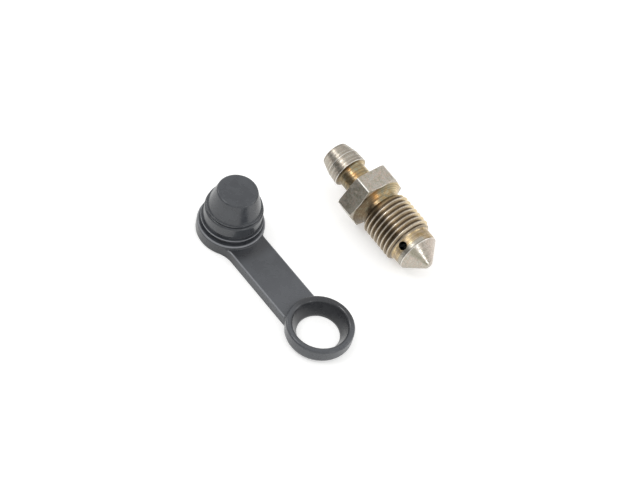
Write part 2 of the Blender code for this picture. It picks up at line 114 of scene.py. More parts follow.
class ScrewSizes(bpy.types.PropertyGroup):
    """Sizes of the screw, from the nipple's end to its nose."""

    nipple_end_radius: length("Nipple end radius", "Radius of the hose nipple at its mouth", 2.68)
    nipple_end_round: length("Nipple end round", "Rounding of the nipple's mouth edge", 0.22)
    nipple_cone_length: length("Nipple cone length", "Length of the nipple's tapered lead", 2.63)
    nipple_edge_radius: length("Nipple edge radius", "Radius where the lead meets the land", 3.38)
    nipple_land_length: length("Nipple land length", "Length of the land behind the lead", 2.31)
    barb_radius: length("Barb radius", "Largest radius of the barb", 3.53)
    barb_edge_drop: length("Barb edge drop", "Size of the barb's back bevel", 0.1)
    turned_edge_round: length("Turned edge round", "Rounding of the nipple's turned edges", 0.07)
    neck_radius: length("Neck radius", "Radius of the neck between barb and hexagon", 2.8)
    neck_length: length("Neck length", "Length of the neck", 4.2)
    barb_fillet: length("Barb fillet", "Fillet under the barb", 0.55)
    neck_fillet: length("Neck fillet", "Fillet where the neck meets the hexagon", 0.3)
    across_flats: length("Across flats", "Spanner size of the hexagon", 11.0)
    hex_length: length("Hexagon length", "Length of the hexagon's flats at the corners", 3.71)
    hex_corner_round: length("Hexagon corner round", "Rounding of the hexagon's long corners", 0.25)
    hex_edge_round: length("Hexagon edge round", "Rounding of the hexagon's other edges", 0.07)
    hex_chamfer_length: length("Hexagon chamfer length", "Chamfer by the neck, along the screw", 0.22)
    hex_chamfer_depth: length("Hexagon chamfer depth", "Chamfer by the neck, across the screw", 0.44)
    dome_height: length("Dome height", "Height of the domed underside of the hexagon", 1.35)
    groove_radius: length("Groove radius", "Radius of the relief groove and the shank's grip", 4.1)
    groove_length: length("Groove length", "Length of the relief groove", 0.75)
    thread_major_radius: length("Thread major radius", "Radius over the thread's crests", 4.93)
    thread_minor_radius: length("Thread minor radius", "Radius at the thread's roots", 4.39)
    thread_pitch: length("Thread pitch", "Distance from crest to crest", 1.0)
    thread_length: length("Thread length", "Length of the threaded stretch", 8.65)
    thread_crest_round: length("Thread crest round", "How far the crests' edges are worn round", 0.06)
    thread_flank: angle("Thread flank", "Slope of each flank from square to the screw", 30)
    thread_start: angle("Thread start", "Where the groove starts, from the far side upwards", 120)
    end_radius: length("Plain end radius", "Radius of the plain end", 4.08)
    end_length: length("Plain end length", "Length of the plain end", 2.4)
    seat_round: length("Seat edge round", "Rounding where the plain end meets the seat cone", 0.2)
    seat_half_angle: angle("Seat half angle", "Half the angle of the seat cone", 45)
    nose_radius: length("Nose radius", "Radius of the blunt nose", 0.78)
    nose_round: length("Nose round", "Rounding of the nose", 0.35)
    bore_radius: length("Bore radius", "Radius of the blind bore", 1.35)
    bore_chamfer: length("Bore chamfer", "Chamfer at the bore's mouth", 0.25)
    drill_half_angle: angle("Drill half angle", "Half the angle of the drill's point", 59)
    cross_hole_radius: length("Cross hole radius", "Radius of the hole through the plain end", 0.8)
    cross_hole_from_seat: length("Cross hole place", "From the seat's edge to the hole's middle", 1.69)
    cross_hole_lean: angle("Cross hole lean", "From straight up towards the dust cap", 51)
    segments: IntProperty(name="Segments", description="Facets round the screw", default=120, min=24)
    head_segments: IntProperty(
        name="Head segments", description="Facets round the head's dome and chamfer", default=72, min=24
    )


class CapSizes(bpy.types.PropertyGroup):
    """Sizes of the dust cap, its strap and its ring."""

    crown_radius: length("Crown radius", "Radius of the cone at its top", 3.8)
    crown_round: length("Crown round", "Rounding of the crown's edge", 0.5)
    crown_thickness: length("Crown thickness", "Rubber above the cavity", 1.86)
    cone_foot_radius: length("Cone foot radius", "Radius of the cone at its foot", 5.0)
    lip_radius: length("Lip radius", "Radius of the thin lip under the cone", 5.28)
    lip_top: length("Lip top", "Height of the lip's upper face", 7.6)
    lip_thickness: length("Lip thickness", "Thickness of the lip", 0.35)
    waist_radius: length("Waist radius", "Radius of the narrow groove under the lip", 5.04)
    bead_radius: length("Bead radius", "Radius of the wide bead", 5.53)
    bead_top: length("Bead top", "Height of the bead's top", 7.0)
    bead_bottom: length("Bead bottom", "Height of the bead's foot", 4.5)
    bead_round: length("Bead round", "Rounding of the bead", 0.4)
    fin_radius: length("Fin radius", "Radius of the thin fin above the flange", 5.92)
    fin_top: length("Fin top", "Height of the fin's upper face", 4.05)
    fin_thickness: length("Fin thickness", "Thickness of the fin", 0.35)
    fin_root_radius: length("Fin root radius", "Radius of the groove beside the fin", 5.3)
    thin_edge_round: length("Thin edge round", "Rounding of the lip's and the fin's edges", 0.11)
    root_round: length("Root round", "Fillet in the corners of the cap's grooves", 0.1)
    flange_radius: length("Flange radius", "Radius of the flange that stands on the table", 6.42)
    flange_height: length("Flange height", "Height of the flange", 2.75)
    flange_top_round: length("Flange top round", "Rounding of the flange's upper edge", 0.45)
    flange_foot_round: length("Flange foot round", "Rounding of the flange's foot", 0.3)
    mouth_radius: length("Mouth radius", "Radius of the cap's mouth", 3.1)
    mouth_chamfer: length("Mouth chamfer", "Chamfer of the cap's mouth", 0.5)
    room_radius: length("Room radius", "Radius of the room for the nipple", 3.55)
    room_from: length("Room from", "Height where the mouth starts to widen", 3.8)
    room_round: length("Room round", "Rounding of the room's roof", 0.3)
    strap_width: length("Strap width", "Width of the strap", 7.75)
    strap_offset: length("Strap offset", "How far the strap sits to the far side", -0.4)
    strap_thickness: length("Strap thickness", "Height of the strap's top", 2.2)
    strap_edge_round: length("Strap edge round", "Rounding of the strap's top edges", 0.3)
    near_sweep: length("Near sweep", "Radius of the strap's long flare into the flange", 5.0)
    far_sweep: length("Far sweep", "Radius of the strap's short flare into the flange", 1.2)
    flange_sink: length("Flange sink", "How far the flares start inside the flange's wall", 0.12)
    junction_fillet: length("Junction fillet", "Fillet on the strap's top at both round ends", 0.26)
    ring_radius: length("Ring radius", "Outer radius of the ring", 6.4)
    ring_height: length("Ring height", "Height of the ring's crest", 3.4)
    ring_top_round: length("Ring top round", "Outer rounding of the ring's crest", 0.5)
    ring_foot_round: length("Ring foot round", "Rounding of the ring's foot", 1.2)
    ring_grip_radius: length("Ring grip radius", "Radius of the ring's hole where it grips", 4.05)
    ring_grip_length: length("Ring grip length", "Height of the straight grip", 0.5)
    ring_crest_radius: length("Ring crest radius", "Radius of the hole's cone at the crest", 5.35)
    ring_crest_round: length("Ring crest round", "Inner rounding of the ring's crest", 0.8)
    segments: IntProperty(name="Segments", description="Facets round the cap", default=128, min=24)


class Finishes(bpy.types.PropertyGroup):
    """Colours of the plated steel, the rubber and the table."""

    silver: colour("Silver", "Plating on the nipple and the cone", (0.50, 0.475, 0.415))
    rose: colour("Rose", "Pinkish passivation in patches", (0.59, 0.485, 0.41))
    # Light rose: painted reflection on the far side of the seat cone
    rose_light: colour("Light rose", "Plating on the far side of the seat cone", (0.80, 0.67, 0.60))
    flat_grey: colour("Flat grey", "Drawn steel of the hexagon's flats", (0.53, 0.505, 0.45))
    # Moss: passivation in random patches, and also painted shade on the near flat and below the seat cone's
    # streak
    moss: colour("Moss", "Greenish grey passivation in patches", (0.36, 0.35, 0.25))
    gold: colour("Gold", "Yellow passivation in the neck and the groove", (0.48, 0.345, 0.17))
    # Amber: painted where the key light's highlight falls on the neck and the dome, to colour that
    # highlight orange
    amber: colour("Amber", "Orange passivation where it is thicker", (0.56, 0.28, 0.08))
    # Straw: a painted reflection on the screw's far sides; on the plain end it is the plating's own colour
    straw: colour("Straw", "Pale passivation on the far sides and the plain end", (0.76, 0.60, 0.34))
    # Brown: painted shade on the near side of the neck, the dome and the thread's flanks
    brown: colour("Brown", "Passivation where it is thickest", (0.19, 0.14, 0.085))
    flank: colour("Flank", "Thread flanks", (0.58, 0.49, 0.36))
    # Crest: painted highlight on the thread's crests
    crest: colour("Crest", "Thread crests", (0.70, 0.63, 0.53))
    # Root: the thread's dark roots are painted shade; the tool marks and pits in this colour are real
    root: colour("Root", "Dark thread roots and tool marks", (0.12, 0.09, 0.06))
    # Inside: painted shade, near black in the bore and the cross hole
    inside: colour("Inside", "Unplated walls of the drillings", (0.013, 0.011, 0.011))
    # Worn: pale edges, partly polished wear and partly painted highlight, also along the seat cone's light
    # streak
    worn: colour("Worn", "Edges that handling has polished", (0.86, 0.84, 0.79))
    rubber: colour("Rubber", "Rubber of the dust cap", (0.043, 0.047, 0.054))
    rubber_worn: colour("Worn rubber", "Paler rubber where it was handled", (0.060, 0.065, 0.073))
    dust: colour("Dust", "Fine dust in the rubber's grain", (0.085, 0.09, 0.10))
    # Painted shade: darker rubber beside the cap, in the ring's funnel and on the ring's far crest
    clean: colour("Clean rubber", "Darker rubber where no hand reaches", (0.014, 0.014, 0.016))
    # Painted highlight: pale rubber along the fin's, the flange's and the strap's top edges
    rim: colour("Rim", "Pale rubber on the edges that handling has rubbed", (0.27, 0.28, 0.30))
    table: colour("Table", "The white table", (0.80, 0.80, 0.79))


class StudioSizes(bpy.types.PropertyGroup):
    """Where the camera stands, how large the table is and how strong the light is."""

    target: FloatVectorProperty(
        name="Target",
        description="Point on the table that the camera looks at",
        default=(-2.92 * MM, 1.17 * MM, 0.0),
        subtype="TRANSLATION",
        unit="LENGTH",
    )
    azimuth: angle("Azimuth", "The camera's place round the part, from the front to the right", 40.1)
    elevation: angle("Elevation", "The camera's height as an angle", 51.9)
    roll: angle("Roll", "The camera's turn about its own line of sight", 15.1)
    distance: length("Distance", "From the camera to the target", 467.6)
    focal_length: FloatProperty(
        name="Focal length", description="Of the lens, in millimetres", default=140.175, unit="CAMERA"
    )
    table_size: length("Table size", "Side of the table", 6000)
    table_glow: factor("Table glow", "Added white that only the eye sees", 0.42)
    dome_light: factor("Dome light", "Strength of the white dome", 0.92)
    horizon_light: factor("Horizon light", "Share of it at the horizon", 0.5)
    horizon_low: factor("Horizon low", "Sine of the height below which that share holds", 0.05)
    horizon_high: factor("Horizon high", "Sine of the height from which the dome has its strength", 0.4)
    dark_side_light: factor("Dark side light", "Strength of its dark side", 0.22)
    dark_side_edge: factor("Dark side edge", "Cosine of the angle where the dark side begins", 0.55)
    dark_side_core: factor("Dark side core", "Cosine of the angle where it is darkest", 0.97)
    dark_side: FloatVectorProperty(
        name="Dark side",
        description="Where the dome is darkest",
        default=(-0.35, -0.92, 0.2),
        subtype="DIRECTION",
    )


def arc(centre, radius, start, end, steps):
    """Points along a circular arc; the angles are in degrees from the first axis."""
    points = []
    for step in range(steps + 1):
        turn = math.radians(start + (end - start) * step / steps)
        points.append((centre[0] + radius * math.cos(turn), centre[1] + radius * math.sin(turn)))
    return points


def rounded(before, corner, after, radius, steps=6):
    """Points of the arc that rounds a corner between two straight stretches."""
    corner = Vector(corner)
    to_before = (Vector(before) - corner).normalized()
    to_after = (Vector(after) - corner).normalized()
    half = to_before.angle(to_after) / 2
    reach = radius / math.tan(half)
    centre = corner + (to_before + to_after).normalized() * radius / math.sin(half)
    first = corner + to_before * reach - centre
    last = corner + to_after * reach - centre
    turn = first.angle_signed(last)
    points = []
    for step in range(steps + 1):
        arm = Matrix.Rotation(-turn * step / steps, 2) @ first
        points.append(tuple(centre + arm))
    return points


def softened(corners, closed=False):
    """An outline of (height, radius, rounding) corners as plain (height, radius) points."""
    points = []
    for index, (height, radius, rounding) in enumerate(corners):
        if rounding:
            before = corners[index - 1][:2]
            after = corners[(index + 1) % len(corners)][:2]
            points += rounded(before, (height, radius), after, rounding)
        else:
            points.append((height, radius))
    return points + points[:1] if closed else points


def start_piece(name):
    """Names the primitive that was just added and opens it for editing."""
    obj = bpy.context.object
    obj.name = name
    obj.data.name = name
    bpy.ops.object.mode_set(mode="EDIT")
    bpy.ops.mesh.select_mode(type="VERT")
    return obj


def draw_line(name, points):
    """Draws a line of edges through points, by extruding one vertex from each to the next."""
    bpy.ops.object.select_all(action="DESELECT")
    bpy.ops.mesh.primitive_plane_add(size=MM, location=points[0])
    obj = start_piece(name)
    bpy.ops.mesh.select_all(action="SELECT")
    bpy.ops.mesh.merge(type="CENTER")
    for here, there in zip(points, points[1:]):
        step = Vector(there) - Vector(here)
        bpy.ops.mesh.extrude_vertices_move(TRANSFORM_OT_translate={"value": step})
    bpy.ops.mesh.select_all(action="SELECT")
    return obj


def finish_solid():
    """Closes the solid being edited, turns its faces outwards and puts its place in its mesh."""
    bpy.ops.mesh.select_all(action="SELECT")
    bpy.ops.mesh.remove_doubles(threshold=MERGE_DISTANCE)
    bpy.ops.mesh.normals_make_consistent(inside=False)
    bpy.ops.object.mode_set(mode="OBJECT")
    bpy.ops.object.transform_apply(location=True, rotation=True, scale=True)


def turned(name, profile, segments):
    """Spins a profile of (height, radius) points about the Z axis."""
    obj = draw_line(name, [(radius, 0, height) for height, radius in profile])
    bpy.ops.mesh.spin(steps=segments, angle=math.tau, center=(0, 0, 0), axis=(0, 0, 1))
    finish_solid()
    return obj


def make_only(obj):
    """Selects one object and nothing else."""
    bpy.ops.object.select_all(action="DESELECT")
    obj.select_set(True)
    bpy.context.view_layer.objects.active = obj


def combine(obj, operation, tool):
    """Joins or cuts a solid with another, which is used up."""
    make_only(obj)
    step = obj.modifiers.new(operation.title(), "BOOLEAN")
    step.operation = operation
    step.solver = "EXACT"
    step.object = tool
    bpy.ops.object.modifier_apply(modifier=step.name)
    bpy.data.objects.remove(tool, do_unlink=True)


def select_edges(obj, wanted):
    """Selects only those edges of the object being edited that pass a test."""
    bpy.ops.mesh.select_mode(type="EDGE")
    bpy.ops.mesh.select_all(action="DESELECT")
    bm = bmesh.from_edit_mesh(obj.data)
    for edge in bm.edges:
        edge.select_set(wanted(edge))
    bm.select_flush_mode()
    bmesh.update_edit_mesh(obj.data)


def turn_of(edge):
    """The angle that the surface turns through across an edge."""
    return edge.calc_face_angle(0) if len(edge.link_faces) == 2 else 0


def middle_of(edge):
    """The middle point of an edge."""
    return (edge.verts[0].co + edge.verts[1].co) / 2


def settle(obj, location, rotation):
    """Moves a finished piece to its place and applies it, so that the place is in its mesh."""
    make_only(obj)
    obj.location = location
    obj.rotation_euler = rotation
    bpy.ops.object.transform_apply(location=True, rotation=True, scale=True)


def dress(obj, surface, smooth_angle, node):
    """Shades a finished piece, gives it its material and puts it in its CAD node's stead."""
    make_only(obj)
    bpy.ops.object.shade_smooth_by_angle(angle=smooth_angle)
    step = obj.modifiers.new("Even shading", "WEIGHTED_NORMAL")
    step.keep_sharp = True
    bpy.ops.object.modifier_apply(modifier=step.name)
    obj.data.materials.clear()
    obj.data.materials.append(surface)
    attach(obj, "root")
    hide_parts(node)


def mount(name):
    """One of the part's mounts: its point in metres and its axis."""
    found = next(m for m in frame["record"]["mounts"] if m["name"] == name)
    return Vector(found["pos_m"]), Vector(found["axis"])


class Stations:
    """Where each form of the screw starts, measured from the nipple's end."""

    def __init__(self, sizes):
        self.nipple_edge = sizes.nipple_cone_length
        self.barb = self.nipple_edge + sizes.nipple_land_length
        self.hexagon = self.barb + sizes.neck_length
        self.dome = self.hexagon + sizes.hex_length
        self.groove = self.dome + sizes.dome_height
        self.thread = self.groove + sizes.groove_length
        self.plain_end = self.thread + sizes.thread_length
        self.seat = self.plain_end + sizes.end_length
        self.nose = self.seat + (sizes.end_radius - sizes.nose_radius) / math.tan(sizes.seat_half_angle)


def hexagon_corner(sizes):
    """Radius over the hexagon's corners while they are still sharp."""
    return sizes.across_flats / 2 / math.cos(HALF_SIXTH)


def screw_place(sizes):
    """The nipple's end and the dip of the screw, from the two spanner flats in the frame."""
    top, up = mount("spanner_flat_top")
    bottom, _ = mount("spanner_flat_bottom")
    dip = math.atan2(up.x, up.z)
    along = Vector((math.cos(dip), 0, -math.sin(dip)))
    hexagon_middle = Stations(sizes).hexagon + sizes.hex_length / 2
    return (top + bottom) / 2 - along * hexagon_middle, dip


def screw_outline(s):
    """The turned outline of the screw without its hexagon, from the bore's end round to the nose."""
    at = Stations(s)
    bore_end = at.seat - s.cross_hole_from_seat + s.cross_hole_radius
    thread_rise = s.thread_major_radius - s.groove_radius
    thread_fall = s.thread_major_radius - s.end_radius
    lead = softened(
        [
            (bore_end + s.bore_radius / math.tan(s.drill_half_angle), 0, 0),
            (bore_end, s.bore_radius, 0),
            (s.bore_chamfer, s.bore_radius, s.turned_edge_round),
            (0, s.bore_radius + s.bore_chamfer, s.turned_edge_round),
            (0, s.nipple_end_radius, s.nipple_end_round),
            (at.nipple_edge, s.nipple_edge_radius, s.turned_edge_round * 4),
            (at.barb, s.barb_radius, s.turned_edge_round),
            (at.barb + s.barb_edge_drop, s.barb_radius - s.barb_edge_drop, 0),
        ]
    )
    fillet_at = at.barb + s.barb_edge_drop + s.barb_fillet
    neck = arc((fillet_at, s.neck_radius + s.barb_fillet), s.barb_fillet, 180, 270, 8)
    neck += arc((at.hexagon - s.neck_fillet, s.neck_radius + s.neck_fillet), s.neck_fillet, 270, 355, 6)
    inside_head = s.groove_radius - s.neck_fillet
    shank = softened(
        [
            (at.hexagon + s.neck_fillet, inside_head, 0),
            (at.groove - s.neck_fillet * 2, inside_head, 0),
            (at.groove - s.neck_fillet, s.groove_radius, 0),
            (at.thread, s.groove_radius, s.neck_fillet),
            (at.thread + thread_rise, s.thread_major_radius, 0),
            (at.plain_end - thread_fall, s.thread_major_radius, 0),
            (at.plain_end, s.end_radius, s.neck_fillet),
            (at.seat, s.end_radius, s.seat_round),
            (at.nose, s.nose_radius, s.nose_round),
            (at.nose, 0, 0),
        ]
    )
    return lead + neck + shank


def groove_section(s):
    """The thread groove's section: (distance along the screw, radius), round at its root and crests."""
    root = s.thread_pitch / 8
    depth = s.thread_major_radius - s.thread_minor_radius
    half_at_end = root + (depth - s.thread_crest_round) * math.tan(s.thread_flank)
    # Across and up, as shares of the root's half width
    root_curve = ((0.45, 0.0), (0.95, 0.15), (1.2, 0.5))
    half = [(root * across, s.thread_minor_radius + root * up) for across, up in root_curve]
    half += [
        (half_at_end, s.thread_major_radius - s.thread_crest_round),
        (half_at_end + s.thread_crest_round * 0.8, s.thread_major_radius),
        (half_at_end + s.thread_crest_round * 1.6, s.thread_major_radius + s.thread_crest_round / 2),
    ]
    return [(-across, radius) for across, radius in reversed(half)] + half


def thread_cutter(s):
    """The helical groove: its section, drawn up round the screw."""
    at = Stations(s)
    first = at.thread + 0.1 * s.thread_pitch
    # Half a facet on, so that no corner of the groove lies on a corner of the shank
    start = s.thread_start + math.pi / 2 + math.pi / s.segments
    arm = Vector((math.cos(start), math.sin(start), 0))
    points = [arm * radius + Vector((0, 0, first + across)) for across, radius in groove_section(s)]
    cutter = draw_line("thread_cutter", points + points[:1])
    bpy.ops.mesh.remove_doubles(threshold=MERGE_DISTANCE)
    bpy.ops.object.mode_set(mode="OBJECT")
    bpy.ops.object.transform_apply(location=True, rotation=True, scale=True)
    step = cutter.modifiers.new("Helix", "SCREW")
    step.axis = "Z"
    step.angle = math.tau
    step.screw_offset = s.thread_pitch
    step.iterations = math.ceil((at.plain_end - first) / s.thread_pitch) + 1
    step.steps = s.segments
    step.render_steps = s.segments
    bpy.ops.object.modifier_apply(modifier=step.name)
    bpy.ops.object.mode_set(mode="EDIT")
    bpy.ops.mesh.select_all(action="SELECT")
    bpy.ops.mesh.fill_holes(sides=0)
    finish_solid()
    return cutter


def head_outline(s, stock):
    """The turned outline of the head: flat and chamfered by the neck, domed by the groove."""
    at = Stations(s)
    corner = hexagon_corner(s)
    reach = corner - s.groove_radius
    # The dome is straight where the flats cut it, so that their edge can be rounded evenly
    straight_share = 0.46
    # It runs on inside the groove's radius, so that the two solids overlap
    last_share = 1.04
    steps = 9
    fall = s.dome_height * straight_share / reach * (stock - corner)
    outline = [
        (at.hexagon, 0),
        (at.hexagon, stock - s.hex_chamfer_depth),
        (at.hexagon + s.hex_chamfer_length, stock),
        (at.dome - fall, stock),
    ]
    for step in range(steps + 1):
        part = straight_share + (last_share - straight_share) * step / steps
        outline.append((at.dome + s.dome_height * part**2, corner - reach * part))
    return outline + [(outline[-1][0], 0)]


def hexagon_bar(s):
    """A piece of drawn bar that is longer than the head, with its long corners rounded."""
    margin = MM
    depth = s.hex_length + s.dome_height + 4 * margin
    bpy.ops.object.select_all(action="DESELECT")
    bpy.ops.mesh.primitive_cylinder_add(
        vertices=6,
        radius=hexagon_corner(s),
        depth=depth,
        location=(0, 0, Stations(s).hexagon - margin + depth / 2),
    )
    bar = start_piece("hexagon_bar")
    select_edges(bar, lambda edge: abs((edge.verts[0].co - edge.verts[1].co).z) > margin)
    bpy.ops.mesh.bevel(offset=s.hex_corner_round * math.tan(HALF_SIXTH), segments=3, affect="EDGES")
    finish_solid()
    return bar


def hexagon_head(s):
    """The hexagon: a turned blank cut to the bar's six flats, with its edges rounded."""
    blank_allowance = 0.1 * MM
    head = turned("hexagon_head", head_outline(s, hexagon_corner(s) + blank_allowance), s.head_segments)
    # Half a facet on, so that no edge of the blank lies in an edge of the bar
    settle(head, (0, 0, 0), (0, 0, math.pi / s.head_segments))
    combine(head, "INTERSECT", hexagon_bar(s))

    bpy.ops.object.mode_set(mode="EDIT")
    bpy.ops.mesh.select_all(action="SELECT")
    bpy.ops.mesh.remove_doubles(threshold=MERGE_DISTANCE)
    sharp = math.radians(25)
    # The edges inside this radius are the ones that the shank hides
    outer = s.across_flats / 2 - 0.3 * MM
    select_edges(head, lambda edge: turn_of(edge) > sharp and middle_of(edge).xy.length > outer)
    bpy.ops.mesh.bevel(offset=s.hex_edge_round, segments=3, affect="EDGES", clamp_overlap=True)
    finish_solid()
    return head


def cross_drill(s):
    """The drill that goes straight through the plain end."""
    bpy.ops.object.select_all(action="DESELECT")
    bpy.ops.mesh.primitive_cylinder_add(
        vertices=48,
        radius=s.cross_hole_radius,
        depth=2 * s.end_radius + MM,
        location=(0, 0, Stations(s).seat - s.cross_hole_from_seat),
        rotation=(math.pi / 2, 0, s.cross_hole_lean - math.pi / 2),
    )
    drill = start_piece("cross_drill")
    finish_solid()
    return drill


class BLEEDER_OT_model_screw(bpy.types.Operator):
    """Turns, threads, drills and lays down the bleeder screw"""

    bl_idname = "bleeder.model_screw"
    bl_label = "Bleeder screw"

    def execute(self, context):
        sizes = context.scene.screw_sizes
        screw = turned("bleeder_screw_fine", screw_outline(sizes), sizes.segments)
        combine(screw, "DIFFERENCE", thread_cutter(sizes))
        combine(screw, "UNION", hexagon_head(sizes))
        combine(screw, "DIFFERENCE", cross_drill(sizes))
        origin, dip = screw_place(sizes)
        settle(screw, origin, (0, math.pi / 2 + dip, 0))
        surface = PlatedSteel(sizes, context.scene.finishes, origin, dip).material
        dress(screw, surface, math.radians(32), "bleeder_screw")
        return {"FINISHED"}


def cap_outline(c, cap_height):
    """The cap's outline with its cavity, from the cavity's roof down, out and up to the crown."""
    roof = cap_height - c.crown_thickness
    lip_foot = c.lip_top - c.lip_thickness
    fin_foot = c.fin_top - c.fin_thickness
    thin = c.thin_edge_round
    root = c.root_round
    return softened(
        [
            (roof, 0, 0),
            (roof, c.room_radius, c.room_round),
            (c.room_from + c.room_radius - c.mouth_radius, c.room_radius, root),
            (c.room_from, c.mouth_radius, root),
            (c.mouth_chamfer, c.mouth_radius, root),
            (0, c.mouth_radius + c.mouth_chamfer, root),
            (0, c.flange_radius, c.flange_foot_round),
            (c.flange_height, c.flange_radius, c.flange_top_round),
            (c.flange_height, c.fin_root_radius, root),
            (fin_foot, c.fin_root_radius, root),
            (fin_foot, c.fin_radius, thin),
            (c.fin_top, c.fin_radius, thin),
            (c.fin_top, c.fin_root_radius, root),
            (c.bead_bottom, c.fin_root_radius, root / 2),
            (c.bead_bottom, c.bead_radius, c.bead_round / 2),
            (c.bead_top, c.bead_radius, c.bead_round),
            (c.bead_top, c.waist_radius, root),
            (lip_foot, c.waist_radius, root),
            (lip_foot, c.lip_radius, thin),
            (c.lip_top, c.lip_radius, thin),
            (c.lip_top, c.cone_foot_radius, root),
            (cap_height, c.crown_radius, c.crown_round),
            (cap_height, 0, 0),
        ]
    )


def ring_outline(c):
    """The ring's closed section: foot, outer wall, rounded crest and the funnel of its hole."""
    corners = [
        (0, c.ring_grip_radius, c.root_round),
        (0, c.ring_radius, c.ring_foot_round),
        (c.ring_height, c.ring_radius, c.ring_top_round),
        (c.ring_height, c.ring_crest_radius, c.ring_crest_round),
        (c.ring_grip_length, c.ring_grip_radius, c.ring_crest_round),
    ]
    return softened(corners, closed=True)


class StrapEdge:
    """One long edge of the strap: straight, with a flare into the cap's flange."""

    def __init__(self, c, side, sweep):
        self.side = side
        self.straight = c.strap_width / 2 + side * c.strap_offset
        self.sweep = sweep
        circle = c.flange_radius - c.flange_sink
        self.middle_y = self.straight + sweep
        self.middle_x = math.sqrt((circle + sweep) ** 2 - self.middle_y**2)
        self.touch = circle / (circle + sweep)

    def y_at(self, x):
        """The edge's signed distance from the line through the two round ends."""
        if x >= self.middle_x:
            return self.side * self.straight
        x = max(x, self.middle_x * self.touch)
        return self.side * (self.middle_y - math.sqrt(self.sweep**2 - (x - self.middle_x) ** 2))

    def y_at_radius(self, radius):
        """The same where the edge is a given distance from the cap's middle."""
        low, high = 0.0, radius
        for _ in range(40):
            x = (low + high) / 2
            if math.hypot(x, self.y_at(x)) < radius:
                low = x
            else:
                high = x
        return self.y_at(low)


class StrapRow:
    """One row across the strap, between a circle about the cap's middle and one about the ring's."""

    def __init__(self, edges, from_wall, cap_radius=0.0, ring_radius=0.0, way=0.0):
        self.edges = edges
        self.from_wall = from_wall
        self.cap_radius = cap_radius
        self.ring_radius = ring_radius
        # How much of the way the row has gone from the first circle to the second
        self.way = way

    def x_at(self, y, pitch):
        """The row's distance from the cap's middle, along the strap."""
        x_cap = math.sqrt(max(self.cap_radius**2 - y**2, 0))
        if not self.way:
            return x_cap
        x_ring = pitch - math.sqrt(self.ring_radius**2 - y**2)
        return x_cap * (1 - self.way) + x_ring * self.way


def strap_rows(c):
    """The rows from inside the flange's wall, over its fillet and the strap, to inside the ring's wall."""
    near = StrapEdge(c, -1, c.near_sweep)
    far = StrapEdge(c, 1, c.far_sweep)
    fillet = c.junction_fillet
    straight = (-near.straight, far.straight)
    # Distances from a wall where rows follow the fillet, as shares of the fillet
    shares = (-1.6, -0.6, 0, 0.1, 0.22, 0.36, 0.52, 0.72, 1.0, 1.6, 2.4)
    by_cap = [(c.flange_radius - STRAP_OVERLAP + share * fillet, share * fillet) for share in shares]
    # Past the fillet, where the edges still flare
    by_cap += [(c.flange_radius + beyond * MM, fillet) for beyond in (0.83, 1.08, 1.38)]
    rows = []
    for radius, from_wall in by_cap:
        edges = (near.y_at_radius(radius), far.y_at_radius(radius))
        rows.append(StrapRow(edges, from_wall, cap_radius=radius))
    last_by_cap = by_cap[-1][0]
    by_ring = [
        (c.ring_radius - STRAP_OVERLAP + share * fillet, share * fillet) for share in reversed(shares)
    ]
    middle_steps = 14
    for step in range(1, middle_steps):
        rows.append(StrapRow(straight, fillet, last_by_cap, by_ring[0][0], step / middle_steps))
    # The last row lies deep in the ring, inside the rounding of its foot
    by_ring.append((c.ring_radius - c.ring_foot_round - STRAP_OVERLAP, shares[0] * fillet))
    for radius, from_wall in by_ring:
        rows.append(StrapRow(straight, from_wall, ring_radius=radius, way=1.0))
    return rows


def edge_rounding(c):
    """Points across the rounding of the strap's edges, as (distance from the edge, drop)."""
    steps = 5
    points = []
    for step in range(steps + 1):
        turn = math.pi / 2 * step / steps
        inset, drop = 1 - math.cos(turn), 1 - math.sin(turn)
        points.append((c.strap_edge_round * inset, c.strap_edge_round * drop))
    return points


def fillet_rise(distance, fillet):
    """How far a concave fillet lifts the strap's top, at a distance from the wall that it meets."""
    if distance >= fillet:
        return 0.0
    inward = fillet - max(distance, 0.0)
    return fillet - math.sqrt(max(fillet**2 - inward**2, 0.0))


def strap(c, pitch):
    """The strap: a grid bent to its top, with rounded long edges and a fillet at each round end."""
    rows = strap_rows(c)
    rounding = edge_rounding(c)
    inner_steps = 14
    last_row = len(rows) - 1
    last_column = 2 * len(rounding) + inner_steps - 2
    bpy.ops.object.select_all(action="DESELECT")
    bpy.ops.mesh.primitive_grid_add(
        x_subdivisions=last_row, y_subdivisions=last_column, size=2.0, location=(0, 0, 0)
    )
    obj = start_piece("strap")
    bm = bmesh.from_edit_mesh(obj.data)
    for vert in bm.verts:
        row = rows[round((vert.co.x + 1) / 2 * last_row)]
        column = round((vert.co.y + 1) / 2 * last_column)
        y_near, y_far = row.edges
        if column < len(rounding):
            inset, drop = rounding[column]
            y = y_near + inset
        elif last_column - column < len(rounding):
            inset, drop = rounding[last_column - column]
            y = y_far - inset
        else:
            inset, drop = rounding[-1]
            across = (column - len(rounding) + 1) / inner_steps
            y = y_near + inset + (y_far - y_near - 2 * inset) * across
        z = c.strap_thickness - drop + fillet_rise(row.from_wall, c.junction_fillet)
        vert.co = Vector((row.x_at(y, pitch), y, z))
    bmesh.update_edit_mesh(obj.data)
    bpy.ops.mesh.select_all(action="SELECT")
    bpy.ops.mesh.extrude_region_move(TRANSFORM_OT_translate={"value": (0, 0, -c.strap_thickness)})
    bpy.ops.transform.resize(value=(1, 1, 0), center_override=(0, 0, 0))
    finish_solid()
    return obj


